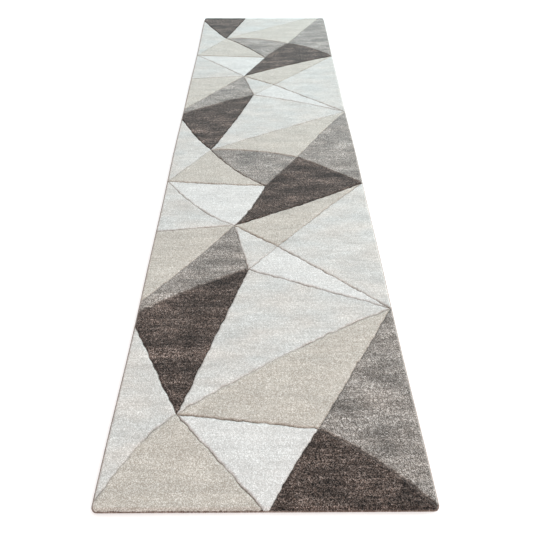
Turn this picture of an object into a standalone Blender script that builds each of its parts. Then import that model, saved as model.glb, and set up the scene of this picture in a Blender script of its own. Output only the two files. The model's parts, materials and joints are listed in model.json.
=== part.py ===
"""Runner rug with a contour-carved pile, in metres, +Z up.

The rug lies flat, centred on X and Y, with its underside at Z = 0. From the floor up it is a thin back
coat, a woven ground cloth, and blocks of cut pile that meet along carved grooves. Overcast yarn wraps the
cloth's edge on all four sides. The near end, where the pattern starts, is at -Y.
"""

import math

import bmesh
import bpy
from mathutils import Matrix, Vector

# Driving dimensions
RUG_WIDTH = 0.800
RUG_LENGTH = 3.000
CORNER_RADIUS = 0.015
PIECE_GAP = 0.0003
BACK_COAT_THICKNESS = 0.0008
GROUND_THICKNESS = 0.0020
PILE_HEIGHT = 0.0100

# Overcast yarn around the ground cloth's edge
OVERCAST_WRAP = 0.0015
OVERCAST_REACH = 0.0060

# Carved grooves, each split between the two blocks that meet there
GROOVE_WIDTH = 0.0070
GROOVE_DEPTH = 0.0062

# Facets in a quarter turn of a corner, and in the overcast yarn's round back
CORNER_STEPS = 6
WRAP_STEPS = 6

# Points closer than this to a cut lie on it
CUT_TOLERANCE = 1e-6

# Pattern, from the rug's near end
REPEAT_LENGTH = 1.195
LEFT = "left edge"
RIGHT = "right edge"

# Where carved lines meet: across from the centre line, and along from the start of the repeat
JUNCTIONS = {
    "foot": (0.003, -0.006),
    "left_start": (LEFT, 0.023),
    "left_star": (-0.236, 0.247),
    "right_star": (0.141, 0.190),
    "right_start": (RIGHT, 0.008),
    "right_fan": (RIGHT, 0.571),
    "centre_star": (-0.056, 0.736),
    "needle_tip": (0.046, 0.844),
    "upper_star": (-0.113, 0.953),
    "dark_side": (LEFT, 0.506),
    "grey_side": (LEFT, 0.561),
    "beige_side": (LEFT, 0.604),
    "cream_side": (LEFT, 0.922),
}

# The pattern is drawn by hand, so some junctions drift in some repeats: shift across and along
DRIFT = {
    "left_star 1": (0.003, -0.016),
    "right_star 1": (-0.006, 0.000),
    "centre_star 2": (0.000, 0.006),
    "needle_tip 2": (0.004, 0.010),
    "left_star 3": (0.000, 0.020),
    "dark_side 3": (0.000, 0.045),
    "grey_side 3": (0.000, 0.050),
    "right_fan 3": (0.000, 0.095),
    "centre_star 3": (0.000, 0.103),
}

# Some carved lines bow between their two junctions: shift of the line's middle along the rug
BOWS = {
    ("foot 1", "right_star 1"): 0.008,
    ("right_star 1", "right_start 1"): 0.018,
    ("left_star 1", "right_fan 1"): 0.019,
    ("left_start 1", "left_star 1"): 0.026,
    ("grey_side 1", "centre_star 1"): 0.012,
    ("beige_side 1", "upper_star 1"): -0.012,
    ("upper_star 1", "left_start 2"): -0.035,
    ("upper_star 1", "foot 2"): -0.022,
    ("upper_star 1", "right_start 2"): -0.008,
    ("needle_tip 1", "right_start 2"): 0.006,
    ("left_start 2", "foot 2"): -0.004,
    ("foot 2", "left_star 2"): -0.029,
    ("left_star 2", "right_star 2"): 0.020,
    ("right_star 2", "right_start 2"): 0.004,
    ("right_star 2", "right_fan 2"): 0.012,
    ("left_star 2", "right_fan 2"): 0.005,
    ("left_star 2", "centre_star 2"): -0.017,
    ("left_star 2", "dark_side 2"): -0.016,
    ("grey_side 2", "centre_star 2"): 0.010,
    ("centre_star 2", "right_fan 2"): 0.012,
    ("upper_star 2", "left_start 3"): 0.006,
    ("upper_star 2", "right_start 3"): 0.012,
    ("foot 3", "left_star 3"): 0.020,
    ("foot 3", "right_star 3"): 0.014,
    ("left_star 3", "right_star 3"): 0.030,
    ("right_star 3", "right_start 3"): 0.030,
    ("left_star 3", "centre_star 3"): -0.020,
    ("left_star 3", "dark_side 3"): -0.010,
}
BOW_STEPS = 8

# Block name to its yarn and its corners. A trailing + or - is the next or the previous repeat's junction.
BLOCKS = {
    "beige_triangle": ("beige", ["left_start", "foot", "left_star"]),
    "kite": ("kite", ["left_star", "foot", "right_star"]),
    "dark_right": ("dark", ["upper_star-", "foot", "right_star", "right_start"]),
    "grey_right": ("grey", ["right_star", "right_start", "right_fan"]),
    "beige_fan": ("beige", ["left_star", "right_star", "right_fan"]),
    "cream_fan": ("cream", ["left_star", "right_fan", "centre_star"]),
    "dark_left": ("dark", ["left_star", "centre_star", "grey_side", "dark_side"]),
    "cream_left_low": ("cream", ["left_start", "left_star", "dark_side"]),
    "grey_left": ("grey", ["grey_side", "centre_star", "upper_star", "beige_side"]),
    "beige_left": ("beige", ["beige_side", "upper_star", "cream_side"]),
    "cream_left_high": ("cream", ["cream_side", "upper_star", "left_start+"]),
    "white_left": ("white", ["left_start+", "upper_star", "foot+"]),
    "beige_wedge": ("beige", ["upper_star", "right_start+", "needle_tip"]),
    "cream_small": ("cream", ["upper_star", "needle_tip", "centre_star"]),
    "white_needle": ("white", ["centre_star", "needle_tip", "right_fan"]),
    "cream_right": ("cream", ["needle_tip", "right_start+", "right_fan"]),
}

# The kite changes its yarn after the first repeat
KITE_YARNS = ("white", "grey")

# Linear base colours and roughness
FINISHES = {
    "white": ((0.70, 0.69, 0.66), 0.95),
    "cream": ((0.60, 0.58, 0.53), 0.95),
    "beige": ((0.48, 0.44, 0.38), 0.95),
    "grey": ((0.28, 0.26, 0.245), 0.95),
    "dark": ((0.085, 0.072, 0.065), 0.97),
    "edge_yarn": ((0.21, 0.15, 0.12), 0.90),
    "ground": ((0.42, 0.34, 0.24), 0.95),
    "back_coat": ((0.50, 0.46, 0.38), 0.80),
}

# Levels and insets that follow from the sizes above
GROUND_BOTTOM = BACK_COAT_THICKNESS + PIECE_GAP
GROUND_TOP = GROUND_BOTTOM + GROUND_THICKNESS
PILE_BOTTOM = GROUND_TOP + PIECE_GAP
PILE_TOP = PILE_BOTTOM + PILE_HEIGHT
OVERCAST_TOP = PILE_BOTTOM + OVERCAST_WRAP
GROUND_INSET = OVERCAST_WRAP + PIECE_GAP
FIELD_INSET = OVERCAST_REACH + PIECE_GAP

UP = Vector((0.0, 0.0, 1.0))
QUARTER = math.pi / 2


def clear_scene():
    for old in list(bpy.data.objects):
        bpy.data.objects.remove(old, do_unlink=True)


def make_materials():
    """One Principled material for each yarn and cloth."""
    materials = {}
    for name, (colour, roughness) in FINISHES.items():
        material = bpy.data.materials.new(name)
        material.use_nodes = True
        shader = material.node_tree.nodes["Principled BSDF"]
        shader.inputs["Base Color"].default_value = (*colour, 1.0)
        shader.inputs["Roughness"].default_value = roughness
        shader.inputs["Metallic"].default_value = 0.0
        materials[name] = material
    return materials


def add_object(name, data, material, collection):
    """Links one piece of the rug and gives it its material."""
    piece = bpy.data.objects.new(name, data)
    data.materials.append(material)
    collection.objects.link(piece)
    return piece


def add_mesh(name, bm, material, collection):
    """Turns a finished bmesh into one piece, with its faces pointing out."""
    bmesh.ops.recalc_face_normals(bm, faces=bm.faces[:])
    if bm.calc_volume(signed=True) < 0:
        bmesh.ops.reverse_faces(bm, faces=bm.faces[:])
    mesh = bpy.data.meshes.new(name)
    bm.to_mesh(mesh)
    bm.free()
    return add_object(name, mesh, material, collection)


def corner_points(inset):
    """The rug's rounded outline, drawn in by inset, anticlockwise from the far right corner."""
    radius = CORNER_RADIUS - inset
    reach_x = RUG_WIDTH / 2 - CORNER_RADIUS
    reach_y = RUG_LENGTH / 2 - CORNER_RADIUS
    points = []
    for corner, (side_x, side_y) in enumerate(((1, 1), (-1, 1), (-1, -1), (1, -1))):
        for step in range(CORNER_STEPS + 1):
            angle = QUARTER * (corner + step / CORNER_STEPS)
            x = side_x * reach_x + radius * math.cos(angle)
            y = side_y * reach_y + radius * math.sin(angle)
            points.append((x, y))
    return points


def add_cloth(name, inset, bottom, thickness, material, collection):
    """A flat layer with the rug's rounded outline."""
    points = corner_points(inset)
    curve = bpy.data.curves.new(name, "CURVE")
    curve.dimensions = "2D"
    curve.fill_mode = "BOTH"
    curve.extrude = thickness / 2
    spline = curve.splines.new("POLY")
    spline.points.add(len(points) - 1)
    for point, (x, y) in zip(spline.points, points):
        point.co = (x, y, 0.0, 1.0)
    spline.use_cyclic_u = True
    cloth = add_object(name, curve, material, collection)
    cloth.location.z = bottom + thickness / 2
    return cloth


def overcast_section():
    """Section of the overcast yarn as (inward from the rug's outline, height)."""
    middle = OVERCAST_TOP / 2
    section = [(OVERCAST_REACH, 0.0)]
    for step in range(WRAP_STEPS + 1):
        angle = -QUARTER + math.pi * step / WRAP_STEPS
        section.append((OVERCAST_WRAP * (1 - math.cos(angle)), middle * (1 + math.sin(angle))))
    section += [
        (OVERCAST_REACH, OVERCAST_TOP),
        (OVERCAST_REACH, PILE_BOTTOM),
        (OVERCAST_WRAP, PILE_BOTTOM),
        (OVERCAST_WRAP, BACK_COAT_THICKNESS),
        (OVERCAST_REACH, BACK_COAT_THICKNESS),
    ]
    return section


def section_ring(bm, start):
    """The overcast section as a ring of edges across the left side, at Y = start."""
    corners = [bm.verts.new((inward - RUG_WIDTH / 2, start, z)) for inward, z in overcast_section()]
    return [bm.edges.new(pair) for pair in zip(corners, corners[1:] + corners[:1])]


def swept_edges(geometry):
    return [item for item in geometry if isinstance(item, bmesh.types.BMEdge)]


def turn_corner(bm, ring, centre):
    """Sweeps the section a quarter turn round a corner, and returns its new end."""
    swept = bmesh.ops.spin(bm, geom=ring, cent=centre, axis=UP, angle=QUARTER, steps=CORNER_STEPS)
    return swept_edges(swept["geom_last"])


def run_straight(bm, ring, offset):
    """Sweeps the section in a straight line, and returns its new end."""
    swept = bmesh.ops.extrude_edge_only(bm, edges=ring)["geom"]
    moved = [item for item in swept if isinstance(item, bmesh.types.BMVert)]
    bmesh.ops.translate(bm, verts=moved, vec=offset)
    return swept_edges(swept)


def close_ends(bm):
    bmesh.ops.edgeloop_fill(bm, edges=[edge for edge in bm.edges if edge.is_boundary])


def add_side_overcast(name, turn, material, collection):
    """Overcast yarn along one long side, between the corners."""
    reach = RUG_LENGTH / 2 - CORNER_RADIUS - PIECE_GAP
    bm = bmesh.new()
    run_straight(bm, section_ring(bm, -reach), Vector((0.0, 2 * reach, 0.0)))
    close_ends(bm)
    bm.transform(Matrix.Rotation(turn, 4, "Z"))
    return add_mesh(name, bm, material, collection)


def add_end_overcast(name, turn, material, collection):
    """Overcast yarn across one short end and round its two corners."""
    reach_x = RUG_WIDTH / 2 - CORNER_RADIUS
    corner_y = CORNER_RADIUS - RUG_LENGTH / 2
    bm = bmesh.new()
    ring = section_ring(bm, corner_y)
    ring = turn_corner(bm, ring, Vector((-reach_x, corner_y, 0.0)))
    ring = run_straight(bm, ring, Vector((2 * reach_x, 0.0, 0.0)))
    turn_corner(bm, ring, Vector((reach_x, corner_y, 0.0)))
    close_ends(bm)
    bm.transform(Matrix.Rotation(turn, 4, "Z"))
    return add_mesh(name, bm, material, collection)


def junction_name(label, repeat):
    """A junction's full name: a + or - at the end of its label means a neighbouring repeat."""
    repeat += label.count("+") - label.count("-")
    return f"{label.strip('+-')} {repeat + 1}"


def junction_point(name):
    """Place on the rug of a junction such as "foot 2"."""
    label, number = name.split()
    across, along = JUNCTIONS[label]
    half_field = RUG_WIDTH / 2 - FIELD_INSET
    x = {LEFT: -half_field, RIGHT: half_field}.get(across, across)
    y = along + (int(number) - 1) * REPEAT_LENGTH - RUG_LENGTH / 2
    shift_x, shift_y = DRIFT.get(name, (0.0, 0.0))
    return Vector((x + shift_x, y + shift_y, PILE_BOTTOM))


def carved_line(first, last):
    """Points from one junction towards the next, without the last one."""
    start, end = junction_point(first), junction_point(last)
    bow = BOWS.get((first, last), BOWS.get((last, first), 0.0))
    steps = BOW_STEPS if bow else 1
    points = []
    for step in range(steps):
        t = step / steps
        points.append(start.lerp(end, t) + Vector((0.0, 4 * bow * t * (1 - t), 0.0)))
    return points


def block_outline(block, repeat):
    """Outline of a block on the rug's plan, anticlockwise."""
    names = [junction_name(label, repeat) for label in BLOCKS[block][1]]
    outline = []
    for first, last in zip(names, names[1:] + names[:1]):
        outline += carved_line(first, last)
    if block == "beige_triangle" and repeat == 0:
        outline.insert(1, outline[0] - Vector((0.0, CORNER_RADIUS + JUNCTIONS["left_start"][1], 0.0)))
    area = sum(a.x * b.y - b.x * a.y for a, b in zip(outline, outline[1:] + outline[:1]))
    return outline if area > 0 else outline[::-1]


def cut_away(bm, point, normal):
    """Takes off what lies beyond a plane and closes the cut."""
    everything = bm.verts[:] + bm.edges[:] + bm.faces[:]
    cut = bmesh.ops.bisect_plane(
        bm, geom=everything, dist=CUT_TOLERANCE, plane_co=point, plane_no=normal, clear_outer=True
    )
    rim = [item for item in cut["geom_cut"] if isinstance(item, bmesh.types.BMEdge)]
    if len(rim) > 2:
        bmesh.ops.edgeloop_fill(bm, edges=rim)


def cut_side(bm, point, outward):
    """Trims one side of a block: an upright wall, and the same slope above it as a carved side has."""
    cut_away(bm, point, outward)
    sloped = (outward * GROOVE_DEPTH + UP * GROOVE_WIDTH / 2).normalized()
    cut_away(bm, point + UP * (PILE_TOP - GROOVE_DEPTH), sloped)


def field_sides():
    """Point and outward direction for each side of the pile field, corners included."""
    outline = [Vector((x, y, 0.0)) for x, y in corner_points(FIELD_INSET)]
    for start, end in zip(outline, outline[1:] + outline[:1]):
        along = end - start
        yield start, Vector((along.y, -along.x, 0.0)).normalized()


def inset(bm, face, width, rise=0.0):
    """Draws a face in by width and lifts it by rise, and returns the band left round it."""
    band = bmesh.ops.inset_region(
        bm, faces=[face], thickness=width, depth=rise, use_even_offset=True, use_boundary=True
    )
    return band["faces"]


def add_pile_block(block, repeat, materials, collection):
    """One block of cut pile with sloped, carved sides, trimmed to the pile field."""
    bm = bmesh.new()
    face = bm.faces.new([bm.verts.new(point) for point in block_outline(block, repeat)])
    face.normal_update()
    bmesh.ops.delete(bm, geom=inset(bm, face, PIECE_GAP / 2), context="FACES")
    raised = bmesh.ops.extrude_face_region(bm, geom=[face])["geom"]
    top = next(item for item in raised if isinstance(item, bmesh.types.BMFace))
    bmesh.ops.translate(bm, verts=top.verts, vec=UP * (PILE_HEIGHT - GROOVE_DEPTH))
    top.normal_update()
    inset(bm, top, GROOVE_WIDTH / 2, GROOVE_DEPTH)
    bmesh.ops.recalc_face_normals(bm, faces=bm.faces[:])
    for point, outward in field_sides():
        cut_side(bm, point, outward)
    if not bm.faces:
        bm.free()
        return None
    yarn = BLOCKS[block][0]
    if yarn == "kite":
        yarn = KITE_YARNS[min(repeat, len(KITE_YARNS) - 1)]
    return add_mesh(f"pile_{block}_{repeat + 1}", bm, materials[yarn], collection)


def build_rug():
    clear_scene()
    rug = bpy.data.collections.new("runner_rug")
    bpy.context.scene.collection.children.link(rug)
    materials = make_materials()

    add_cloth("back_coat", FIELD_INSET, 0.0, BACK_COAT_THICKNESS, materials["back_coat"], rug)
    add_cloth("ground_cloth", GROUND_INSET, GROUND_BOTTOM, GROUND_THICKNESS, materials["ground"], rug)
    add_side_overcast("left_side_overcast", 0.0, materials["edge_yarn"], rug)
    add_side_overcast("right_side_overcast", math.pi, materials["edge_yarn"], rug)
    add_end_overcast("near_end_overcast", 0.0, materials["edge_yarn"], rug)
    add_end_overcast("far_end_overcast", math.pi, materials["edge_yarn"], rug)

    for repeat in range(math.ceil(RUG_LENGTH / REPEAT_LENGTH)):
        for block in BLOCKS:
            add_pile_block(block, repeat, materials, rug)


build_rug()
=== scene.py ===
"""Runner rug with a contour-carved cut pile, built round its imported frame.

Metres, +Z up, +Y along the rug from its near end to its far end. The frame says where each piece goes: a
block of pile takes its plan from the underside of the node that it replaces, the edge yarn follows the rug's
outline, and the ground cloth and the back coat fill their own nodes' boxes. Each operator makes one kind of
piece, and the last one makes the stage.
"""

import json
import math
from collections import namedtuple

import bmesh
import bpy
import numpy as np
from bpy.props import FloatProperty, FloatVectorProperty, IntProperty, PointerProperty
from bpy.types import Operator, Panel, PropertyGroup
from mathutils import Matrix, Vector, geometry


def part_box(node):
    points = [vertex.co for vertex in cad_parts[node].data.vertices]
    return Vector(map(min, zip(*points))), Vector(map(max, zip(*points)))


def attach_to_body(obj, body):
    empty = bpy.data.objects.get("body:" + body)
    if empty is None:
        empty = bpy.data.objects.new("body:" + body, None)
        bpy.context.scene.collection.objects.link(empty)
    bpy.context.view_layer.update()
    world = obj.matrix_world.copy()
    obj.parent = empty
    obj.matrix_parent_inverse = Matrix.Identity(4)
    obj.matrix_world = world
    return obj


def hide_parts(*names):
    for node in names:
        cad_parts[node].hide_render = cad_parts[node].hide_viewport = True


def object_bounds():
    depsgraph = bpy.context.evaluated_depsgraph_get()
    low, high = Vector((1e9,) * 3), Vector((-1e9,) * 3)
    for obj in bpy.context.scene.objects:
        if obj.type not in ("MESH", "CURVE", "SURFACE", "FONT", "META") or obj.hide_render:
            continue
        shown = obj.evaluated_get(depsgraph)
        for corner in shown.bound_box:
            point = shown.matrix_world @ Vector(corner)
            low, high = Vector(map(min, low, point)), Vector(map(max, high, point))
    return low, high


bl_info = {
    "name": "Runner Rug",
    "version": (1, 0, 0),
    "blender": (4, 5, 0),
    "location": "3D View > Sidebar > Rug",
    "description": "Makes a runner rug with a carved cut pile and an overcast edge",
    "category": "Add Mesh",
}

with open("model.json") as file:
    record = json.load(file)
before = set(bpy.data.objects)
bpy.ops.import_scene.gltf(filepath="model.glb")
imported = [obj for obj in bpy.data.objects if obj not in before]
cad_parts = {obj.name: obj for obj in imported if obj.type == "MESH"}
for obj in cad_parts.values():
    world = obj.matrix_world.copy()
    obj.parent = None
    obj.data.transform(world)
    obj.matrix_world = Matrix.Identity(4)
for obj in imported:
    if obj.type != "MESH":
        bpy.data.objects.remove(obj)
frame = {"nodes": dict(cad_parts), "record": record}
CAD_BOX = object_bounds()

# What the frame says of the rug
BODY = "root"
SLOTS = {part["node"]: part["material_slot"] for part in frame["record"]["subparts"]}
PILE_NODES = sorted(name for name in frame["nodes"] if name.startswith("pile_"))
EDGE_NODES = sorted(name for name in frame["nodes"] if name.endswith("_overcast"))
HALF_WIDTH, HALF_LENGTH = CAD_BOX[1].x, CAD_BOX[1].y
PILE_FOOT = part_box(PILE_NODES[0])[0].z
PILE_TOP = CAD_BOX[1].z
FIELD_HALF_WIDTH, FIELD_HALF_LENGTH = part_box("back_coat")[1].x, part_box("back_coat")[1].y
EDGE_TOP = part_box(EDGE_NODES[0])[1].z
EDGE_REACH = HALF_WIDTH - FIELD_HALF_WIDTH

# Rounding of the rug's corners in plan, as its nodes have it
CORNER_RADIUS = 0.015

# Tolerances, and the fineness of the meshes. A wall row is its share of the height and of the lean.
WELD = 1e-6
ON_FIELD_EDGE = 0.0005
RIM_RINGS = (0.0012, 0.0024, 0.0036)
WALL_ROWS = ((0.66, 1.0), (0.33, 0.55), (0.0, 0.0))
UNDERSIDE_PITCH = 0.030
CLOTH_COLUMNS = 12
CORNER_STEPS = 8

# Overcast yarn: sides of the thread, its clearance from the pile, the dip of its inner end, the share by
# which turns differ in width, how brown each station of a turn is on its way up from under the cloth, and
# for each run how light its brown is and how much of its top is the pale yarn. Every run but the right is
# painted darker in both, as painted shade.
THREAD_SIDES = 6
WRAP_CLEARANCE = 0.0004
WRAP_DIP = 0.0003
WIDTH_CHANGE = 0.15
BROWN_STATIONS = (1.0, 1.0, 1.0, 1.0, 1.0, 0.3, 0.0)
EDGE_PAINTED_SHADES = {"left": (0.45, 0.40), "right": (1.0, 1.0), "near": (0.42, 0.10), "far": (0.80, 0.50)}

# Tufts: how far each strays from its row as a share of the pitch, how unlike the tips are that lean over the
# edge yarn, and how much less unlike the tips are deep in a groove
JITTER = 0.25
FRAY = (0.55, 1.15)
CALM = 0.6

# Carved grooves: the curve of their slopes, and how much less they are cut where they run up to the right.
# Then slow changes over the pile, with their scales of noise: how hard the shears press, how the top rises
# and falls, and how the carved lines sway, which fades out at the rug's edge.
GROOVE_CURVE = 1.8
LIGHT_CUT = 0.75
PRESS_SCALE = 11.0
PRESS_RANGE = (0.5, 1.15)
RISE_SCALE = 28.0
SWAY_SCALE = 46.0
SWAY_GAIN = 4.0
SWAY_FADE = 0.020

# Patterns: cells of a tuft and of a clump of tufts, noise as its detail and its scales across and along the
# rug, and fibres as scales of noise
TUFT_CELL = 0.0016
CLUMP_CELL = 0.0048
ROWS = (1.0, (16.0, 400.0, 0.0))
WEFTS = (2.0, (11.0, 130.0, 0.0))
BANDS = (3.0, (4.0, 26.0, 0.0))
CLOUDS = (2.0, (8.0, 19.0, 0.0))
PATCHES = (2.0, (6.5, 15.0, 0.0))
CLOTH_WEFTS = (2.0, (30.0, 700.0, 0.0))
PILE_FIBRES = 1500.0
EDGE_FIBRES = 900.0
CLOTH_FIBRES = 1100.0

# Dye: how much of it the lightest tufts have lost, the tints of the patches and the colour that warm tufts
# take on by up to their share. Then how late the painted shade deep in a groove starts on its way down.
BLEACH = 0.6
COOL_PATCH = (0.98, 0.995, 1.0, 1.0)
WARM_PATCH = (1.035, 0.985, 0.95, 1.0)
WARM_TUFT = (0.54, 0.48, 0.44, 1.0)
WARM_SHARE = 0.15
GROOVE_SHADE = 1.2

# Yarn of each record slot: the settings' colour that it takes, the speckle of its tufts and of its clumps,
# the streaks across the rug, the slow clouds, the tinted patches, the painted shade in a groove and the
# sheen
Heather = namedtuple("Heather", "yarn speckle clump streak cloud patch depth sheen")
HEATHERS = {
    "white_pile": Heather("white", 0.36, 0.05, 0.05, 0.03, 0.15, 0.85, 0.16),
    "cream_pile": Heather("cream", 0.40, 0.05, 0.06, 0.07, 0.70, 0.88, 0.16),
    "beige_pile": Heather("beige", 0.56, 0.05, 0.06, 0.06, 0.20, 0.95, 0.34),
    "grey_pile": Heather("grey", 1.30, 0.22, 0.18, 0.36, 0.45, 1.00, 0.34),
    "dark_pile": Heather("dark", 1.98, 0.56, 0.34, 0.55, 0.45, 1.00, 0.18),
}

# Cloths: distance between warps, how much of the cotton shows and how rough the threads are
Weave = namedtuple("Weave", "warp_pitch cotton roughness")
BACK_WEAVE = Weave(0.0042, 0.55, 0.8)
GROUND_WEAVE = Weave(0.0036, 0.8, 0.95)

# Soft lights: a window past the far end, a low one on the right and one behind the camera
Lamp = namedtuple("Lamp", "place target size tint")
LAMPS = {
    "window": Lamp((4.0, 4.6, 3.0), (0.0, 0.0, 0.0), (2.0, 2.0), (0.45, 0.90, 1.0)),
    "side": Lamp((5.0, 0.4, 1.6), (0.0, 0.0, 0.0), (2.4, 1.2), (1.0, 1.0, 1.0)),
    "room": Lamp((0.8, -3.6, 3.0), (0.0, -1.0, 0.0), (3.0, 2.0), (1.0, 0.80, 0.74)),
}


def colour(name, description, default):
    return FloatVectorProperty(
        name=name, description=description, default=default, subtype="COLOR", size=3, min=0.0, max=1.0
    )


def length(name, description, default):
    return FloatProperty(
        name=name, description=description, default=default, min=0.0, subtype="DISTANCE", unit="LENGTH",
        precision=5,
    )


def power(name, description, default):
    return FloatProperty(name=name, description=description, default=default, unit="POWER")


def rotation(name, description, degrees):
    return FloatProperty(
        name=name, description=description, default=math.radians(degrees), subtype="ANGLE"
    )


class RUG_PG_pile(PropertyGroup):
    """Sizes and yarns of the cut pile"""

    tuft_pitch: length("Tuft pitch", "Distance between neighbouring tufts", 0.0020)
    tuft_relief: length("Tuft relief", "How far a tuft's tip may stand over or under the pile", 0.00035)
    unevenness: length("Unevenness", "Slow rise and fall of the pile's surface", 0.0003)
    groove_half: length("Groove half width", "Width of the carved slope on a block's side", 0.0052)
    groove_depth: length("Groove depth", "Depth of the carved grooves between splayed tufts", 0.0056)
    wobble: length("Wobble", "How far the hand-guided shears stray from a smooth line", 0.0028)
    splay: length("Splay", "How far the tufts beside a groove lean into it", 0.00013)
    shoulder_width: length("Shoulder width", "Width of the rounding along the rug's edge", 0.0030)
    shoulder_drop: length("Shoulder drop", "How far the pile drops along the rug's edge", 0.0030)
    side_lean: length("Side lean", "How far outer tufts lean over the yarn of the long sides", 0.0012)
    end_lean: length("End lean", "How far outer tufts lean over the yarn of the ends", 0.0044)
    seed: IntProperty(name="Seed", description="Picks the tufts' random heights", default=7, min=0)
    white: colour("White yarn", "Colour of the white blocks", (0.577, 0.563, 0.545))
    cream: colour("Cream yarn", "Colour of the cream blocks", (0.517, 0.502, 0.480))
    beige: colour("Beige yarn", "Colour of the beige blocks", (0.455, 0.407, 0.351))
    grey: colour("Grey yarn", "Colour of the taupe grey blocks", (0.238, 0.205, 0.181))
    dark: colour("Dark yarn", "Colour of the dark brown blocks", (0.0825, 0.0542, 0.0423))
    # Painted shade: the yarn's colour is multiplied by this deep in a groove and down a block's walls,
    # standing in for the shade there as well as the yarn's darker roots
    root: colour("Pile root", "What the yarn's colour is multiplied by deep in a groove", (0.45, 0.37, 0.31))


class RUG_PG_edge(PropertyGroup):
    """Sizes and colours of the overcast edge yarn"""

    wrap_pitch: length("Wrap pitch", "Distance between neighbouring turns of the yarn", 0.0025)
    yarn_width: length("Yarn width", "Width of the yarn where it lies on the edge", 0.0025)
    yarn_thickness: length("Yarn thickness", "Thickness of the yarn on top of the edge", 0.0014)
    slant: length("Slant", "How far each turn leans along the edge", 0.0010)
    seed: IntProperty(name="Seed", description="Picks the turns' random shades", default=11, min=0)
    brown: colour("Brown yarn", "Colour of the yarn round the rug's outer side", (0.34, 0.20, 0.145))
    taupe: colour("Taupe yarn", "Colour of the odd paler turn", (0.46, 0.38, 0.34))
    pale: colour("Pale yarn", "Colour of the yarn on top of the edge", (0.62, 0.60, 0.56))


class RUG_PG_cloth(PropertyGroup):
    """Sizes and colours of the ground cloth and its back coat"""

    ground_rib_pitch: length("Ground rib pitch", "Distance between the ground cloth's ribs", 0.0030)
    ground_rib_height: length("Ground rib height", "Height of the ground cloth's ribs", 0.00025)
    back_rib_pitch: length("Back rib pitch", "Distance between the ribs that show through the coat", 0.0026)
    back_rib_height: length("Back rib height", "Height of the ribs on the back", 0.00012)
    ripple: length("Ripple", "How far the cloth lifts where it doesn't lie quite flat", 0.0016)
    wander: length("Wander", "How far the long edges stray from straight lines", 0.0016)
    jute: colour("Jute", "Colour of the weft", (0.42, 0.33, 0.23))
    cotton: colour("Cotton", "Colour of the warp", (0.60, 0.56, 0.48))


class RUG_PG_stage(PropertyGroup):
    """Floor, lights and camera"""

    floor_size: length("Floor size", "Side of the square floor", 30.0)
    floor_colour: colour("Floor", "Colour of the floor", (1.0, 1.0, 1.0))
    world_light: FloatProperty(
        name="World light", description="Strength of the even light", default=0.97, min=0
    )
    window_light: power("Window light", "Power of the soft light past the far end", 230)
    side_light: power("Side light", "Power of the low soft light on the right", 150)
    room_light: power("Room light", "Power of the soft light behind the camera", 36)
    lens: FloatProperty(name="Lens", description="Focal length in millimetres", default=30.46, min=1)
    camera_height: length("Camera height", "Height of the camera over the floor", 1.145)
    camera_back: length("Camera distance", "How far the camera stands before the near end", 0.2724)
    camera_tilt: rotation("Camera tilt", "Angle from straight down", 42.04)
    camera_turn: rotation("Camera turn", "Angle round the vertical", -0.275)


# Nodes ---------------------------------------------------------------------------------------------


class NodeTree:
    """Adds nodes to a tree, with each input given as a value or as another node's output."""

    def __init__(self, tree):
        self.tree = tree

    def feed(self, socket, value):
        if isinstance(value, bpy.types.NodeSocket):
            self.tree.links.new(value, socket)
        else:
            socket.default_value = value

    def add(self, kind, inputs=None, **settings):
        node = self.tree.nodes.new(kind)
        for name, value in settings.items():
            setattr(node, name, value)
        for key, value in (inputs or {}).items():
            self.feed(node.inputs[key], value)
        return node

    def math(self, operation, first, second=0.0, clamp=False):
        node = self.add("ShaderNodeMath", {0: first, 1: second}, operation=operation, use_clamp=clamp)
        return node.outputs[0]

    def product(self, first, *others):
        for other in others:
            first = self.math("MULTIPLY", first, other)
        return first

    def rest(self, share):
        """What a share leaves of 1."""
        return self.math("SUBTRACT", 1.0, share)

    def stretch(self, value, low, high, to_low=0.0, to_high=1.0):
        inputs = {"Value": value, "From Min": low, "From Max": high, "To Min": to_low, "To Max": to_high}
        return self.add("ShaderNodeMapRange", inputs).outputs["Result"]

    def spread(self, noise, low, high):
        """Noise, which seldom leaves 0.3 to 0.7, spread from low to high."""
        return self.stretch(noise, 0.3, 0.7, low, high)

    def mix(self, share, first, second, blend="MIX"):
        node = self.add("ShaderNodeMix", data_type="RGBA", blend_type=blend, clamp_result=False)
        colours = [socket for socket in node.inputs if socket.type == "RGBA"]
        for socket, value in ((node.inputs["Factor"], share), (colours[0], first), (colours[1], second)):
            self.feed(socket, value)
        return next(socket for socket in node.outputs if socket.type == "RGBA")

    def dimmed(self, tone, level):
        """A colour multiplied by a level of grey."""
        grey = self.add("ShaderNodeCombineColor", {0: level, 1: level, 2: level}).outputs[0]
        return self.mix(1.0, tone, grey, "MULTIPLY")

    def vector(self, operation, first, second):
        return self.add("ShaderNodeVectorMath", {0: first, 1: second}, operation=operation).outputs[0]

    def scaled(self, vector, amount):
        inputs = {0: vector, "Scale": amount}
        return self.add("ShaderNodeVectorMath", inputs, operation="SCALE").outputs[0]

    def noise(self, place, scale, detail=2.0, stretch=(1.0, 1.0, 1.0)):
        """Smooth noise from 0 to 1, drawn out along an axis where its stretch is small."""
        moved = self.vector("MULTIPLY", place, stretch)
        inputs = {"Vector": moved, "Scale": scale, "Detail": detail}
        return self.add("ShaderNodeTexNoise", inputs, noise_dimensions="3D").outputs[0]

    def cells(self, place, pitch):
        """Three random values for each cell in plan."""
        inputs = {"Vector": place, "Scale": 1 / pitch}
        cell = self.add("ShaderNodeTexVoronoi", inputs, voronoi_dimensions="2D")
        return self.add("ShaderNodeSeparateColor", {"Color": cell.outputs["Color"]}).outputs


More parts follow.
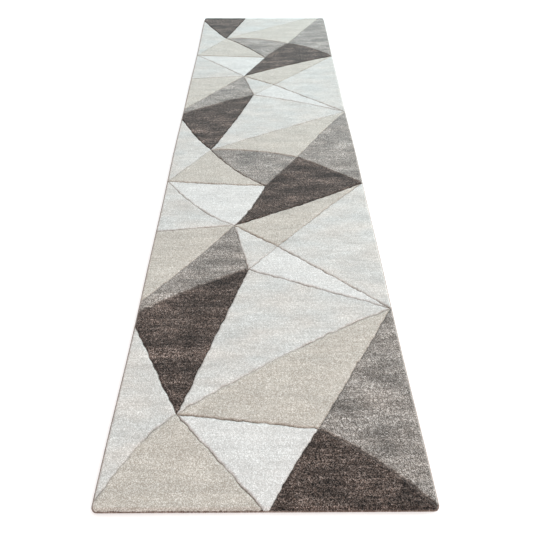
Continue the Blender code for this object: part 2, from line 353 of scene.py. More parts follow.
class GeometryTree(NodeTree):
    """A Geometry Nodes tree with named inputs, a Geometry socket first, and a set material at its end."""

    def __init__(self, name, inputs):
        super().__init__(bpy.data.node_groups.new(name, "GeometryNodeTree"))
        interface = self.tree.interface
        interface.new_socket("Geometry", in_out="INPUT", socket_type="NodeSocketGeometry")
        interface.new_socket("Geometry", in_out="OUTPUT", socket_type="NodeSocketGeometry")
        for label, kind in inputs.items():
            interface.new_socket(label, in_out="INPUT", socket_type=f"NodeSocket{kind}")
        self.inputs = self.tree.nodes.new("NodeGroupInput").outputs

    def attribute(self, name, data_type="FLOAT"):
        return self.add("GeometryNodeInputNamedAttribute", {"Name": name}, data_type=data_type).outputs[0]

    def random(self, low, high, seed, identity=None):
        node = self.add("FunctionNodeRandomValue", {"Seed": seed}, data_type="FLOAT")
        minimum, maximum = [socket for socket in node.inputs if socket.type == "VALUE" and socket.enabled]
        self.feed(minimum, low)
        self.feed(maximum, high)
        if identity is not None:
            self.feed(node.inputs["ID"], identity)
        return next(socket for socket in node.outputs if socket.enabled)

    def store(self, body, name, value, domain="POINT"):
        inputs = {"Geometry": body, "Name": name, "Value": value}
        node = self.add("GeometryNodeStoreNamedAttribute", inputs, data_type="FLOAT", domain=domain)
        return node.outputs[0]

    def finish(self, body):
        real = self.add("GeometryNodeRealizeInstances", {"Geometry": body}).outputs[0]
        smooth = self.add("GeometryNodeSetShadeSmooth", {"Geometry": real}).outputs[0]
        inputs = {"Geometry": smooth, "Material": self.inputs["Material"]}
        made = self.add("GeometryNodeSetMaterial", inputs).outputs[0]
        self.add("NodeGroupOutput", {"Geometry": made})
        return self.tree


class MaterialTree(NodeTree):
    """A new material's tree, which ends in its Principled shader."""

    def __init__(self, name):
        self.material = bpy.data.materials.new(name)
        self.material.use_nodes = True
        super().__init__(self.material.node_tree)

    def attribute(self, name):
        return self.add("ShaderNodeAttribute", attribute_name=name).outputs["Fac"]

    def finish(self, tone, bumps, values):
        """Gives the shader its colour, its bumps (height, strength, distance) and its plain values."""
        height, strength, distance = bumps
        bump = self.add("ShaderNodeBump", {"Height": height, "Strength": strength, "Distance": distance})
        shader = self.tree.nodes["Principled BSDF"]
        for name, value in values.items():
            shader.inputs[name].default_value = value
        self.tree.links.new(tone, shader.inputs["Base Color"])
        self.tree.links.new(bump.outputs[0], shader.inputs["Normal"])
        return self.material


def grown(name, mesh, tree, values):
    """The plain mesh that a tree makes of a mesh, laid down as the whole rug lies, as a new piece."""
    source = bpy.data.objects.new(name, mesh)
    bpy.context.scene.collection.objects.link(source)
    modifier = source.modifiers.new("Grow", "NODES")
    modifier.node_group = tree
    for item in tree.interface.items_tree:
        if item.in_out == "INPUT" and item.name in values:
            modifier[item.identifier] = values[item.name]
    graph = bpy.context.evaluated_depsgraph_get()
    result = bpy.data.meshes.new_from_object(source.evaluated_get(graph))
    result.name = name
    source.modifiers.clear()
    source.data = result
    bpy.data.meshes.remove(mesh)
    lay_down(result)
    return source


def lay_down(mesh):
    """Gives a mesh the gentle ripple and the slightly straying long edges that the whole rug shares.

    The waves run at unlike rates, so neither the ripple nor the straying repeats along the rug. The
    ripple is fullest at the long edges.
    """
    cloth = bpy.context.scene.rug_cloth
    flat = np.empty(len(mesh.vertices) * 3)
    mesh.vertices.foreach_get("co", flat)
    places = flat.reshape(-1, 3)
    across, along = places[:, 0] / HALF_WIDTH, places[:, 1]
    wave = np.sin(4.1 * along + 0.8) * np.sin(1.9 * along + 2.2 * across + 0.4)
    stray = np.sin(3.7 * along + 0.5 * across + 1.9) + 0.5 * np.sin(9.3 * along + 2.0)
    places[:, 2] += cloth.ripple * (0.5 + 0.5 * wave) * (0.35 + 0.65 * across**2)
    places[:, 0] += cloth.wander * stray * across * np.abs(across)
    mesh.vertices.foreach_set("co", places.ravel())
    mesh.update()


def new_mesh(name, places, corners, starts):
    """A mesh from plain arrays: places, the faces' corners one after another, and where each face starts."""
    mesh = bpy.data.meshes.new(name)
    mesh.vertices.add(len(places))
    mesh.vertices.foreach_set("co", np.ascontiguousarray(places, dtype=np.float32).ravel())
    mesh.loops.add(len(corners))
    mesh.loops.foreach_set("vertex_index", np.asarray(corners, dtype=np.int32))
    mesh.polygons.add(len(starts))
    mesh.polygons.foreach_set("loop_start", np.asarray(starts, dtype=np.int32))
    mesh.update(calc_edges=True)
    if mesh.validate():
        raise RuntimeError(f"{name}: its faces don't join up")
    return mesh


def joined_faces(*groups):
    """Corner and start lists of triangles and quads given as index arrays."""
    corners = np.concatenate([group.ravel() for group in groups])
    sizes = np.concatenate([np.full(len(group), group.shape[1]) for group in groups])
    return corners, np.concatenate(([0], np.cumsum(sizes)[:-1]))


def give_attribute(mesh, name, kind, values):
    data_key = "vector" if kind == "FLOAT_VECTOR" else "value"
    mesh.attributes.new(name, kind, "POINT").data.foreach_set(data_key, np.ascontiguousarray(values).ravel())


def attach(piece, *nodes):
    """Rides a finished piece on the rug's body in place of its nodes."""
    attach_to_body(piece, BODY)
    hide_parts(*nodes)


# Plan shapes ---------------------------------------------------------------------------------------


def underside(node):
    """Corners of a node's flat underside in plan, anticlockwise."""
    bm = bmesh.new()
    bm.from_mesh(node.data)
    bmesh.ops.remove_doubles(bm, verts=bm.verts[:], dist=WELD)
    foot = min(vert.co.z for vert in bm.verts)
    under = [face for face in bm.faces if max(vert.co.z for vert in face.verts) < foot + WELD]
    following = {}
    for face in under:
        for loop in face.loops:
            if loop.link_loop_radial_next.face not in under:
                following[loop.link_loop_next.vert] = loop.vert
    here = first = next(iter(following))
    corners = []
    while not corners or here is not first:
        corners.append(here.co.to_2d())
        here = following[here]
    bm.free()
    return np.array(corners)


def spaced(corners, pitch):
    """Points along a closed outline, no further apart than pitch."""
    points = []
    for start, end in zip(corners, np.roll(corners, -1, axis=0)):
        count = math.ceil(np.linalg.norm(end - start) / pitch)
        points += [start + (end - start) * step / count for step in range(count)]
    return np.array(points)


def distance_to(points, segments):
    """Shortest distance in plan from each point to any of the segments."""
    nearest = np.full(len(points), HALF_LENGTH)
    for start, end in segments:
        along = end - start
        share = np.clip((points - start) @ along / (along @ along), 0.0, 1.0)
        nearest = np.minimum(nearest, np.linalg.norm(points - start - share[:, None] * along, axis=1))
    return nearest


def cut_beside(points, segments):
    """How deep the groove beside each point is cut: the shears press less where it runs up to the right."""
    nearest = np.full(len(points), HALF_LENGTH)
    depth = np.ones(len(points))
    for start, end in segments:
        along = end - start
        away = distance_to(points, [(start, end)])
        depth[away < nearest] = 1.0 - LIGHT_CUT * max(0.0, along[0] * along[1] / (along @ along))
        nearest = np.minimum(nearest, away)
    return depth


def inside(points, corners):
    """Which of the points lie in a closed outline."""
    crossings = np.zeros(len(points), dtype=int)
    for (x1, y1), (x2, y2) in zip(corners, np.roll(corners, -1, axis=0)):
        if y1 != y2:
            spans = (y1 <= points[:, 1]) != (y2 <= points[:, 1])
            crossings += spans & (points[:, 0] < x1 + (points[:, 1] - y1) * (x2 - x1) / (y2 - y1))
    return crossings % 2 == 1


def lattice(corners, pitch):
    """Staggered rows of points over an outline, on the same rows for every block, as the loom lays them."""
    low, high = corners.min(axis=0), corners.max(axis=0)
    columns = np.arange(math.floor(low[0] / pitch), math.ceil(high[0] / pitch) + 1)
    rows = np.arange(math.floor(low[1] / pitch), math.ceil(high[1] / pitch) + 1)
    across, along = np.meshgrid(columns, rows)
    return np.stack([(across + 0.5 * (along % 2)).ravel(), along.ravel()], axis=1) * pitch


def field_outward(points):
    """Outward direction of the pile field's rounded outline at each point."""
    radius = CORNER_RADIUS - EDGE_REACH
    reach = np.array([FIELD_HALF_WIDTH - radius, FIELD_HALF_LENGTH - radius])
    away = points - np.clip(points, -reach, reach)
    return away / np.maximum(np.linalg.norm(away, axis=1), WELD)[:, None]


def triangulated(outline, points):
    """Triangles over an outline and the points in it, with their places and the outline's indices."""
    everything = [Vector(point) for point in np.concatenate([outline, points])]
    edge = list(range(len(outline)))
    places, _, faces, sources, _, _ = geometry.delaunay_2d_cdt(everything, [], [edge], 1, WELD)
    order = np.full(len(everything), -1)
    for index, source in enumerate(sources):
        order[source] = index
    return np.array(places), np.array(faces), order[: len(outline)]


# Pile ----------------------------------------------------------------------------------------------


def rim_points(corners, rings, pitch):
    """Rows of points that follow an outline's sides on its inner side."""
    segments = list(zip(corners, np.roll(corners, -1, axis=0)))
    found = []
    for ring in rings:
        for start, end in segments:
            along = (end - start) / np.linalg.norm(end - start)
            count = max(1, round(np.linalg.norm(end - start) / pitch))
            places = start + (np.arange(count) + 0.5)[:, None] / count * (end - start)
            places = places + ring * np.array([-along[1], along[0]])
            found.append(places[distance_to(places, segments) > ring - WELD])
    points = np.concatenate(found)
    return points[inside(points, corners)]


def block_pattern(name, node, pitch, field_segments, rng):
    """A pile block's flat pattern, all at its foot: its tufts' places, its walls and its underside.

    Its attributes say what the pile tree raises: how far a point lies from the carved and the outer sides,
    how deep the groove beside it is cut, how high up its strand it is, which way it leans or splays, and
    which strand it belongs to.
    """
    corners = underside(node)
    middles = (corners + np.roll(corners, -1, axis=0)) / 2
    outer = distance_to(middles, field_segments) < ON_FIELD_EDGE
    segments = list(zip(corners, np.roll(corners, -1, axis=0)))
    outline = spaced(corners, pitch)

    tufts = lattice(corners, pitch)
    tufts = tufts[inside(tufts, corners)]
    tufts = tufts[distance_to(tufts, segments) > RIM_RINGS[-1] + pitch / 2]
    tufts += rng.uniform(-JITTER, JITTER, tufts.shape) * pitch
    tufts = np.concatenate([tufts, rim_points(corners, RIM_RINGS, pitch)])
    plan, faces, border = triangulated(outline, tufts)

    coarse = lattice(corners, UNDERSIDE_PITCH)
    coarse = coarse[inside(coarse, corners)]
    coarse = coarse[distance_to(coarse, segments) > UNDERSIDE_PITCH / 4]
    under_plan, under_faces, under_border = triangulated(outline, coarse)

    # The walls go down from the outline's tufts, row by row, and the last row is the underside's border
    count = len(outline)
    first_wall = len(plan)
    rows = [border] + [first_wall + row * count + np.arange(count) for row in range(len(WALL_ROWS))]
    walls = []
    for upper, lower in zip(rows, rows[1:]):
        walls.append(np.stack([upper, lower, np.roll(lower, -1), np.roll(upper, -1)], axis=1))
    inner = np.setdiff1d(np.arange(len(under_plan)), under_border)
    renumbered = np.empty(len(under_plan), dtype=int)
    renumbered[under_border] = rows[-1]
    renumbered[inner] = first_wall + len(WALL_ROWS) * count + np.arange(len(inner))

    flat = np.concatenate([plan] + [outline] * len(WALL_ROWS) + [under_plan[inner]])
    places = np.column_stack([flat, np.full(len(flat), PILE_FOOT)])
    corners_list, starts = joined_faces(faces, renumbered[under_faces][:, ::-1], *walls)
    mesh = new_mesh(name, places, corners_list, starts)

    carved_sides = [side for side, out in zip(segments, outer) if not out]
    carved_rim = distance_to(flat, carved_sides)
    field_rim = distance_to(flat, [side for side, out in zip(segments, outer) if out])
    on_edge = field_rim < WELD
    ahead = np.roll(outline, -1, axis=0) - np.roll(outline, 1, axis=0)
    ahead /= np.linalg.norm(ahead, axis=1)[:, None]
    splayed = np.column_stack([ahead[:, 1], -ahead[:, 0]]) * ~on_edge[border][:, None]
    splay = np.zeros((len(flat), 3))
    splay[border, :2] = splayed
    lean = np.zeros(len(flat))
    height = np.zeros(len(flat))
    strand = np.arange(len(flat))
    lean[: len(plan)] = np.where(on_edge[: len(plan)], 1.0, 0.0)
    height[: len(plan)] = 1.0
    for row, (share, leaning) in zip(rows[1:], WALL_ROWS):
        height[row] = share
        splay[row, :2] = splayed * share
        lean[row] = np.where(on_edge[row], leaning, 0.0)
        strand[row] = border
    outward = np.column_stack([field_outward(flat) * lean[:, None], np.zeros(len(flat))])
    give_attribute(mesh, "carved_rim", "FLOAT", carved_rim)
    give_attribute(mesh, "cut", "FLOAT", cut_beside(flat, carved_sides))
    give_attribute(mesh, "field_rim", "FLOAT", field_rim)
    give_attribute(mesh, "height", "FLOAT", height)
    give_attribute(mesh, "strand", "INT", strand)
    give_attribute(mesh, "outward", "FLOAT_VECTOR", outward)
    give_attribute(mesh, "splay", "FLOAT_VECTOR", splay)
    return mesh


# Settings that the pile tree takes as lengths
PILE_SETTINGS = (
    "Groove half", "Groove depth", "Shoulder width", "Shoulder drop", "Tuft relief", "Unevenness",
    "Side lean", "End lean", "Wobble", "Splay",
)


def pile_tree():
    """Raises a flat pattern into cut pile with carved slopes, a rounded outer edge and uneven tips."""
    lengths = dict.fromkeys(("Foot", "Top", *PILE_SETTINGS), "Float")
    tree = GeometryTree("Cut pile", {**lengths, "Seed": "Int", "Material": "Material"})
    given = tree.inputs
    place = tree.add("GeometryNodeInputPosition").outputs[0]
    height = tree.attribute("height")
    strand = tree.attribute("strand", "INT")

    beside = tree.math("DIVIDE", tree.attribute("carved_rim"), given["Groove half"], clamp=True)
    carved = tree.math("POWER", tree.rest(beside), GROOVE_CURVE)
    inset = tree.math("DIVIDE", tree.attribute("field_rim"), given["Shoulder width"], clamp=True)
    rounded = tree.math("SINE", tree.product(inset, math.pi / 2))
    dropped = tree.rest(rounded)
    pressed = tree.stretch(tree.noise(place, PRESS_SCALE), 0.35, 0.65, *PRESS_RANGE)
    pressed = tree.product(pressed, tree.attribute("cut"))
    lowered = tree.math(
        "MAXIMUM",
        tree.product(carved, pressed, given["Groove depth"]),
        tree.product(dropped, given["Shoulder drop"]),
    )
    tips = tree.product(tree.random(-1.0, 1.0, given["Seed"], strand), given["Tuft relief"])
    tips = tree.product(tips, tree.rest(tree.product(carved, CALM)))
    slow = tree.spread(tree.noise(place, RISE_SCALE), -1.0, 1.0)
    raised = tree.math("ADD", tips, tree.product(slow, given["Unevenness"]))
    surface = tree.math("SUBTRACT", tree.math("ADD", given["Top"], raised), lowered)
    stand = tree.product(tree.math("SUBTRACT", surface, given["Foot"]), height)

    fray = tree.random(*FRAY, tree.math("ADD", given["Seed"], 1.0), strand)
    free_tips = tree.product(fray, tree.rest(carved))
    leans = tree.add("ShaderNodeCombineXYZ", {"X": given["Side lean"], "Y": given["End lean"]}).outputs[0]
    outward = tree.vector("MULTIPLY", tree.attribute("outward", "FLOAT_VECTOR"), leans)
    outward = tree.scaled(outward, free_tips)
    splay = tree.scaled(tree.attribute("splay", "FLOAT_VECTOR"), given["Splay"])

    # The whole plan sways a little, so neighbours stay side by side; the sway dies out at the rug's edge
    axes = tree.add("ShaderNodeSeparateXYZ", {0: place}).outputs
    margin = tree.math(
        "MINIMUM",
        tree.math("SUBTRACT", FIELD_HALF_WIDTH, tree.math("ABSOLUTE", axes["X"])),
        tree.math("SUBTRACT", FIELD_HALF_LENGTH, tree.math("ABSOLUTE", axes["Y"])),
    )
    reach = tree.product(given["Wobble"], SWAY_GAIN)
    free = tree.product(tree.stretch(margin, 0.0, SWAY_FADE), reach)
    inputs = {"Vector": place, "Scale": SWAY_SCALE, "Detail": 2.0}
    swaying = tree.add("ShaderNodeTexNoise", inputs).outputs["Color"]
    centred = tree.vector("SUBTRACT", swaying, (0.5, 0.5, 0.5))
    sway = tree.scaled(tree.vector("MULTIPLY", centred, (1.0, 1.0, 0.0)), free)

    offset = tree.add("ShaderNodeCombineXYZ", {"Z": stand}).outputs[0]
    for part in (outward, splay, sway):
        offset = tree.vector("ADD", offset, part)
    # Painted shade mask: full at a groove's foot and down a block's walls, weaker where the groove is cut
    # less deep
    sunk = tree.math("MULTIPLY", carved, pressed, clamp=True)
    sunk = tree.math("MAXIMUM", sunk, tree.rest(height))
    marked = tree.store(given["Geometry"], "sunk", sunk)
    moved = tree.add("GeometryNodeSetPosition", {"Geometry": marked, "Offset": offset})
    return tree.finish(moved.outputs[0])


def yarn_material(slot):
    """Heathered cut-pile yarn: a speckle for each tuft, streaks across the rug, slow clouds, sheen and
    painted groove shade.
    """
    pile = bpy.context.scene.rug_pile
    heather = HEATHERS[slot]
    tree = MaterialTree(f"{heather.yarn}_yarn")
    place = tree.add("ShaderNodeTexCoord").outputs["Object"]
    tuft = tree.cells(place, TUFT_CELL)
    clump = tree.cells(place, CLUMP_CELL)

    def swing(value, amount):
        """A factor round 1 from a value of 0 to 1, with few light values and many that are a little dark."""
        return tree.stretch(tree.product(value, value), 0.0, 1.0, 1.0 - amount / 2, 1.0 + amount)

    level = tree.product(swing(tuft[0], heather.speckle), swing(clump[0], heather.clump))
    streaks = [(noise, heather.streak) for noise in (ROWS, WEFTS, BANDS)]
    for noise, amount in (*streaks, (CLOUDS, heather.cloud)):
        change = tree.spread(tree.noise(place, 1.0, *noise), 1.0 - amount, 1.0 + amount)
        level = tree.product(level, change)

    # Light tufts have lost some of their dye
    dyed = getattr(pile, heather.yarn)
    bleached = tree.product(tuft[0], tuft[0], BLEACH)
    base = tree.mix(bleached, (*dyed, 1.0), (*[sum(dyed) / 3] * 3, 1.0))
    shade = tree.dimmed(base, level)
    tints = tree.stretch(tree.noise(place, 1.0, *PATCHES), 0.35, 0.65)
    patches = tree.mix(tints, COOL_PATCH, WARM_PATCH)
    tinted = tree.mix(heather.patch, shade, patches, "MULTIPLY")
    warm = tree.mix(tree.stretch(tuft[1], 0.0, 1.0, 0.0, WARM_SHARE), tinted, WARM_TUFT, "SOFT_LIGHT")
    # Painted shade: the yarn is multiplied towards the root colour deep in a groove and down a block's walls
    sunk = tree.math("POWER", tree.attribute("sunk"), GROOVE_SHADE)
    shaded = tree.product(sunk, heather.depth)
    groove_shaded = tree.mix(shaded, warm, (*pile.root, 1.0), "MULTIPLY")

    fibres = tree.noise(place, PILE_FIBRES, 1.0, (1.0, 1.0, 0.25))
    height = tree.math("ADD", tree.product(tuft[2], 0.6), fibres)
    values = {
        "Roughness": 0.95, "Specular IOR Level": 0.15, "Sheen Weight": heather.sheen,
        "Sheen Roughness": 0.5, "Sheen Tint": (1.0, 1.0, 1.0, 1.0),
    }
    return tree.finish(groove_shaded, (height, 0.35, 0.0006), values)


class RUG_OT_pile(Operator):
    """Makes every block of cut pile in place of its node"""

    bl_idname = "rug.pile"
    bl_label = "Cut Pile"

    def execute(self, context):
        pile = context.scene.rug_pile
        tree = pile_tree()
        lengths = {label: getattr(pile, label.lower().replace(" ", "_")) for label in PILE_SETTINGS}
        materials = {slot: yarn_material(slot) for slot in HEATHERS}
        field = underside(frame["nodes"]["back_coat"])
        field_segments = list(zip(field, np.roll(field, -1, axis=0)))
        for index, name in enumerate(PILE_NODES):
            rng = np.random.default_rng(pile.seed + index)
            pattern = block_pattern(name, frame["nodes"][name], pile.tuft_pitch, field_segments, rng)
            values = {
                "Foot": PILE_FOOT, "Top": PILE_TOP, **lengths, "Seed": pile.seed + index,
                "Material": materials[SLOTS[name]],
            }
            attach(grown(f"cut_{name}", pattern, tree, values), name)
        return {"FINISHED"}


# Edge yarn -----------------------------------------------------------------------------------------


def edge_path(node):
    """Points of the rug's outline along one run of overcast yarn, anticlockwise."""
    low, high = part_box(node)
    if node.endswith("side_overcast"):
        side = math.copysign(HALF_WIDTH, low.x + high.x)
        return [(side, math.copysign(low.y, -side)), (side, math.copysign(high.y, side))]
    end = math.copysign(1.0, low.y + high.y)
    centre_x, centre_y = HALF_WIDTH - CORNER_RADIUS, HALF_LENGTH - CORNER_RADIUS
    points = []
    for side, first in ((1, 0.0), (-1, math.pi / 2)):
        for step in range(CORNER_STEPS + 1):
            angle = first + math.pi / 2 * step / CORNER_STEPS
            x = side * centre_x + CORNER_RADIUS * math.cos(angle)
            y = centre_y + CORNER_RADIUS * math.sin(angle)
            points.append((end * x, end * y))
    return points


def wrap_stations(thickness):
    """Middle and half thickness of one turn of yarn along its way round the edge: from under the cloth,
    round the rug's outer side and back over the top. X is outward from the rug's outline."""
    half = thickness / 2
    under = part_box("ground_cloth")[0].z - WELD
    low, high = under / 2, EDGE_TOP - half
    middle, bend = (low + high) / 2, (high - low) / 2
    inner = WRAP_CLEARANCE - EDGE_REACH
    stations = [((inner, low), 0.6 * low, -90.0), ((-bend - half, low), 0.9 * low, -90.0)]
    for angle in (-45.0, 0.0, 45.0):
        turn = math.radians(angle)
        x = -bend - half + bend * math.cos(turn)
        stations.append(((x, middle + bend * math.sin(turn)), half * 0.9, angle))
    stations += [((-bend - half, high), half, 90.0), ((inner, high - WRAP_DIP), half * 0.7, 90.0)]
    return stations


def wrap_mesh(edge):
    """One turn of the overcast yarn: a closed, flattened thread that opens towards the pile."""
    sides = THREAD_SIDES
    stations = wrap_stations(edge.yarn_thickness)
    places = []
    for number, ((x, z), half, angle) in enumerate(stations):
        turn = math.radians(angle)
        shift = edge.slant * (number / (len(stations) - 1) - 0.5)
        for side in range(sides):
            round_angle = 2 * math.pi * (side + 0.5) / sides
            out = half * math.cos(round_angle)
            along = edge.yarn_width / 2 * math.sin(round_angle) + shift
            places.append((x + out * math.cos(turn), along, z + out * math.sin(turn)))
    mesh = bpy.data.meshes.new("wrap")
    faces = []
    for ring in range(len(stations) - 1):
        for side in range(sides):
            following = (side + 1) % sides
            first, second = ring * sides, (ring + 1) * sides
            faces.append((first + side, first + following, second + following, second + side))
    faces.append(tuple(reversed(range(sides))))
    faces.append(tuple((len(stations) - 1) * sides + side for side in range(sides)))
    mesh.from_pydata(places, [], faces)
    bm = bmesh.new()
    bm.from_mesh(mesh)
    bmesh.ops.recalc_face_normals(bm, faces=bm.faces[:])
    bm.to_mesh(mesh)
    bm.free()
    give_attribute(mesh, "outer", "FLOAT", np.repeat(BROWN_STATIONS, sides))
    return mesh


def edge_tree():
    """Winds turns of yarn along a path, each a little different in width and shade."""
    tree = GeometryTree(
        "Overcast yarn",
        {"Wrap": "Object", "Pitch": "Float", "Width change": "Float", "Seed": "Int", "Material": "Material"},
    )
    given = tree.inputs
    curve = tree.add("GeometryNodeMeshToCurve", {"Mesh": given["Geometry"]}).outputs[0]
    points = tree.add("GeometryNodeCurveToPoints", {"Curve": curve, "Length": given["Pitch"]}, mode="LENGTH")
    turned = tree.add(
        "FunctionNodeAlignRotationToVector", {"Vector": points.outputs["Tangent"]}, axis="Y", pivot_axis="Z"
    )
    thread = tree.add("GeometryNodeObjectInfo", {"Object": given["Wrap"]}).outputs["Geometry"]
    low = tree.rest(given["Width change"])
    size = tree.add(
        "ShaderNodeCombineXYZ", {"X": 1.0, "Y": tree.random(low, 1.0, given["Seed"]), "Z": 1.0}
    )
    wound = tree.add(
        "GeometryNodeInstanceOnPoints",
        {
            "Points": points.outputs["Points"], "Instance": thread, "Rotation": turned.outputs[0],
            "Scale": size.outputs[0],
        },
    )
    shade = tree.random(0.0, 1.0, tree.math("ADD", given["Seed"], 1.0))
    shaded = tree.store(wound.outputs[0], "shade", shade, "INSTANCE")
    return tree.finish(shaded)


def edge_material(name, brown_shade_level, paleness):
    """Matt twisted yarn: brown round the rug's outer side with the odd taupe turn, and pale on top, both
    painted darker by the run's shade.
    """
    edge = bpy.context.scene.rug_edge
    tree = MaterialTree(name)
    place = tree.add("ShaderNodeTexCoord").outputs["Object"]
    odd = tree.stretch(tree.attribute("shade"), 0.6, 1.0, 0.0, 0.6)
    slow = tree.stretch(tree.noise(place, 9.0), 0.45, 0.7, 0.0, 0.3)
    # Painted shade: the run's brown is darkened by its shade level
    brown = [channel * brown_shade_level for channel in edge.brown]
    sides = tree.mix(tree.math("ADD", odd, slow), (*brown, 1.0), (*edge.taupe, 1.0))
    top = tree.product(tree.rest(tree.attribute("outer")), paleness)
    mixed = tree.mix(top, sides, (*edge.pale, 1.0))
    fibres = tree.noise(place, EDGE_FIBRES, 3.0)
    final = tree.dimmed(mixed, tree.spread(fibres, 0.75, 1.25))
    values = {"Roughness": 0.9, "Specular IOR Level": 0.2, "Sheen Weight": 0.15}
    return tree.finish(final, (fibres, 0.6, 0.0004), values)


class RUG_OT_edge_yarn(Operator):
    """Winds the overcast yarn along the rug's two sides and two ends"""

    bl_idname = "rug.edge_yarn"
    bl_label = "Overcast Edge Yarn"

    def execute(self, context):
        edge = context.scene.rug_edge
        tree = edge_tree()
        wrap = bpy.data.objects.new("wrap", wrap_mesh(edge))
        for index, name in enumerate(EDGE_NODES):
            points = edge_path(name)
            path = bpy.data.meshes.new(name)
            links = [(number, number + 1) for number in range(len(points) - 1)]
            path.from_pydata([(x, y, 0.0) for x, y in points], links, [])
            values = {
                "Wrap": wrap, "Pitch": edge.wrap_pitch, "Width change": WIDTH_CHANGE,
                "Seed": edge.seed + index,
                "Material": edge_material(f"{name}_yarn", *EDGE_PAINTED_SHADES[name.split("_")[0]]),
            }
            attach(grown(f"wound_{name}", path, tree, values), name)
        bpy.data.objects.remove(wrap)
        return {"FINISHED"}


# Cloths --------------------------------------------------------------------------------------------


def cloth_pattern(name, low, high, radius, row_pitch):
    """A flat, closed layer with a rounded outline and rows across it, ready for ribs."""
    half_width, half_length = high.x, high.y
    count = 2 * math.ceil(half_length / row_pitch)
    along = np.linspace(-half_length, half_length, count + 1)
    past = np.maximum(np.abs(along) - (half_length - radius), 0.0)
    reach = half_width - radius + np.sqrt(np.maximum(radius**2 - past**2, 0.0))
    across = np.linspace(-1.0, 1.0, CLOTH_COLUMNS + 1)
    x = reach[:, None] * across[None, :]
    y = np.broadcast_to(along[:, None], x.shape)
    layer = np.stack([x.ravel(), y.ravel()], axis=1)
    size = len(layer)
    places = np.concatenate([
        np.column_stack([layer, np.full(size, high.z)]),
        np.column_stack([layer, np.full(size, low.z)]),
    ])
    grid = np.arange(size).reshape(x.shape)
    top = np.stack([grid[:-1, :-1], grid[:-1, 1:], grid[1:, 1:], grid[1:, :-1]], axis=-1).reshape(-1, 4)
    border = np.concatenate([grid[0, :-1], grid[:-1, -1], grid[-1, :0:-1], grid[:0:-1, 0]])
    ahead = np.roll(border, -1)
    walls = np.stack([ahead, border, border + size, ahead + size], axis=1)
    corners, starts = joined_faces(top, top[:, ::-1] + size, walls)
    mesh = new_mesh(name, places, corners, starts)
    give_attribute(mesh, "upper", "FLOAT", np.repeat([1.0, 0.0], size))
    return mesh


def rib_tree():
    """Presses rounded ribs, one for each weft, into a flat layer's faces."""
    tree = GeometryTree(
        "Woven ribs",
        {"Rib pitch": "Float", "Upper rib": "Float", "Lower rib": "Float", "Material": "Material"},
    )
    given = tree.inputs
    place = tree.add("GeometryNodeInputPosition").outputs[0]
    along = tree.add("ShaderNodeSeparateXYZ", {0: place}).outputs["Y"]
    turn = tree.product(tree.math("DIVIDE", along, given["Rib pitch"]), 2 * math.pi)
    valley = tree.stretch(tree.math("COSINE", turn), -1.0, 1.0, 1.0, 0.0)
    upper = tree.attribute("upper")
    down = tree.product(valley, given["Upper rib"], upper)
    up = tree.product(valley, given["Lower rib"], tree.rest(upper))
    offset = tree.add("ShaderNodeCombineXYZ", {"Z": tree.math("SUBTRACT", up, down)}).outputs[0]
    moved = tree.add("GeometryNodeSetPosition", {"Geometry": given["Geometry"], "Offset": offset})
    return tree.finish(moved.outputs[0])


def weave_material(name, weft_pitch, weave):
    """Jute wefts crossed by cotton warps, each thread with its own shade, and painted shade between the
    wefts.
    """
    cloth = bpy.context.scene.rug_cloth
    tree = MaterialTree(name)
    place = tree.add("ShaderNodeTexCoord").outputs["Object"]
    axes = tree.add("ShaderNodeSeparateXYZ", {0: place}).outputs

    def threads(axis, pitch):
        """Round threads side by side, from 0 between two to 1 on top of one."""
        turn = tree.product(axis, 2 * math.pi / pitch)
        return tree.stretch(tree.math("COSINE", turn), -1.0, 1.0)

    weft, warp = threads(axes["Y"], weft_pitch), threads(axes["X"], weave.warp_pitch)
    over = tree.math("MULTIPLY", warp, weave.cotton, clamp=True)
    mixed = tree.mix(over, (*cloth.jute, 1.0), (*cloth.cotton, 1.0))
    wefts = tree.spread(tree.noise(place, 1.0, *CLOTH_WEFTS), 0.75, 1.2)
    fibres = tree.noise(place, CLOTH_FIBRES, 2.0)
    # Painted shade: the colour darkens between two wefts, where the ribs dip
    level = tree.product(wefts, tree.stretch(weft, 0.0, 1.0, 0.7, 1.05))
    level = tree.product(level, tree.spread(fibres, 0.85, 1.15))
    final = tree.dimmed(mixed, level)
    relief = tree.math("ADD", tree.math("ADD", weft, tree.product(warp, 0.6)), fibres)
    values = {"Roughness": weave.roughness, "Specular IOR Level": 0.25}
    return tree.finish(final, (relief, 0.6, 0.0005), values)


def woven(name, node, rib_pitch, ribs, weave):
    """A ribbed cloth that fills its node's box, with its ribs' height above and below."""
    low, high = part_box(node)
    radius = CORNER_RADIUS - (HALF_WIDTH - high.x)
    pattern = cloth_pattern(name, low, high, radius, rib_pitch / 2)
    values = {
        "Rib pitch": rib_pitch, "Upper rib": ribs[0], "Lower rib": ribs[1],
        "Material": weave_material(name, rib_pitch, weave),
    }
    piece = grown(name, pattern, rib_tree(), values)
    attach(piece, node)
    return piece


class RUG_OT_back_coat(Operator):
    """Makes the thin coat on the rug's ribbed back"""

    bl_idname = "rug.back_coat"
    bl_label = "Back Coat"

    def execute(self, context):
        cloth = context.scene.rug_cloth
        woven("sized_back", "back_coat", cloth.back_rib_pitch, (0.0, cloth.back_rib_height), BACK_WEAVE)
        return {"FINISHED"}


class RUG_OT_ground_cloth(Operator):
    """Makes the woven ground cloth that holds the pile"""

    bl_idname = "rug.ground_cloth"
    bl_label = "Ground Cloth"

    def execute(self, context):
        cloth = context.scene.rug_cloth
        ribs = (cloth.ground_rib_height, cloth.ground_rib_height)
        ground = woven("woven_ground", "ground_cloth", cloth.ground_rib_pitch, ribs, GROUND_WEAVE)
        return {"FINISHED"}


# Stage ---------------------------------------------------------------------------------------------


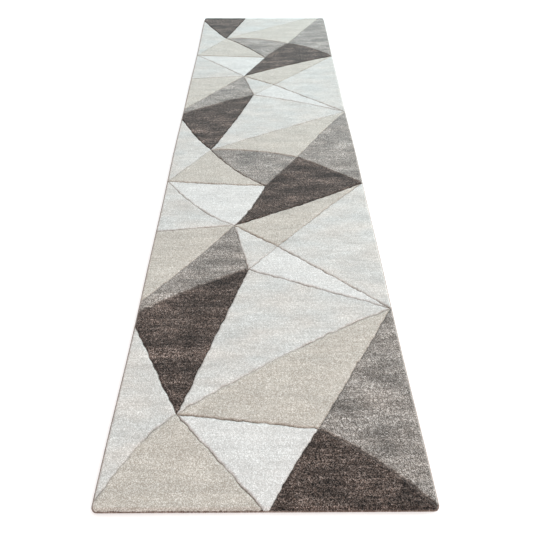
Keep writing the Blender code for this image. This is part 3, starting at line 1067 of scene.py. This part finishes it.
def soft_light(name, lamp, watts):
    """A large soft light that looks at its target."""
    data = bpy.data.lights.new(name, "AREA")
    data.shape = "RECTANGLE"
    data.size, data.size_y = lamp.size
    data.energy = watts
    data.color = lamp.tint
    light = bpy.data.objects.new(name, data)
    light.location = lamp.place
    light.rotation_euler = (Vector(lamp.target) - Vector(lamp.place)).to_track_quat("-Z", "Y").to_euler()
    bpy.context.scene.collection.objects.link(light)


def stage_floor(stage):
    """A plain pale floor under the rug."""
    reach = stage.floor_size / 2
    mesh = bpy.data.meshes.new("floor")
    corners = [(-reach, -reach, 0), (reach, -reach, 0), (reach, reach, 0), (-reach, reach, 0)]
    mesh.from_pydata(corners, [], [(0, 1, 2, 3)])
    material = bpy.data.materials.new("pale_floor")
    material.use_nodes = True
    shader = material.node_tree.nodes["Principled BSDF"]
    shader.inputs["Base Color"].default_value = (*stage.floor_colour, 1.0)
    shader.inputs["Roughness"].default_value = 0.9
    shader.inputs["Specular IOR Level"].default_value = 0.1
    mesh.materials.append(material)
    floor = bpy.data.objects.new("floor", mesh)
    bpy.context.scene.collection.objects.link(floor)


class RUG_OT_stage(Operator):
    """Makes the floor, the lights and the camera"""

    bl_idname = "rug.stage"
    bl_label = "Stage"

    def execute(self, context):
        scene = context.scene
        stage = scene.rug_stage
        stage_floor(stage)
        world = bpy.data.worlds.new("studio")
        world.use_nodes = True
        world.node_tree.nodes["Background"].inputs["Color"].default_value = (1.0, 1.0, 1.0, 1.0)
        world.node_tree.nodes["Background"].inputs["Strength"].default_value = stage.world_light
        scene.world = world
        for name, lamp in LAMPS.items():
            soft_light(name, lamp, getattr(stage, f"{name}_light"))

        data = bpy.data.cameras.new("camera")
        data.lens = stage.lens
        camera = bpy.data.objects.new("camera", data)
        camera.location = (0.0, -HALF_LENGTH - stage.camera_back, stage.camera_height)
        camera.rotation_euler = (stage.camera_tilt, 0.0, stage.camera_turn)
        scene.collection.objects.link(camera)
        scene.camera = camera
        scene.view_settings.view_transform = "Standard"
        return {"FINISHED"}


class RUG_PT_panel(Panel):
    """Lists the steps that make the rug"""

    bl_idname = "RUG_PT_panel"
    bl_label = "Runner Rug"
    bl_space_type = "VIEW_3D"
    bl_region_type = "UI"
    bl_category = "Rug"

    def draw(self, context):
        for operator in OPERATORS:
            self.layout.operator(operator.bl_idname)
        for name, group in SETTINGS.items():
            box = self.layout.box()
            box.label(text=name.replace("_", " ").title())
            for label in group.__annotations__:
                box.prop(getattr(context.scene, name), label)


SETTINGS = {
    "rug_pile": RUG_PG_pile,
    "rug_edge": RUG_PG_edge,
    "rug_cloth": RUG_PG_cloth,
    "rug_stage": RUG_PG_stage,
}
OPERATORS = (RUG_OT_pile, RUG_OT_edge_yarn, RUG_OT_back_coat, RUG_OT_ground_cloth, RUG_OT_stage)


def register():
    for group in (*SETTINGS.values(), *OPERATORS, RUG_PT_panel):
        bpy.utils.register_class(group)
    for name, group in SETTINGS.items():
        setattr(bpy.types.Scene, name, PointerProperty(type=group))


def unregister():
    for name in SETTINGS:
        delattr(bpy.types.Scene, name)
    for group in (RUG_PT_panel, *OPERATORS, *SETTINGS.values()):
        bpy.utils.unregister_class(group)


def main():
    register()
    bpy.ops.rug.pile()
    bpy.ops.rug.edge_yarn()
    bpy.ops.rug.back_coat()
    bpy.ops.rug.ground_cloth()
    bpy.ops.rug.stage()


if __name__ == "__main__":
    main()
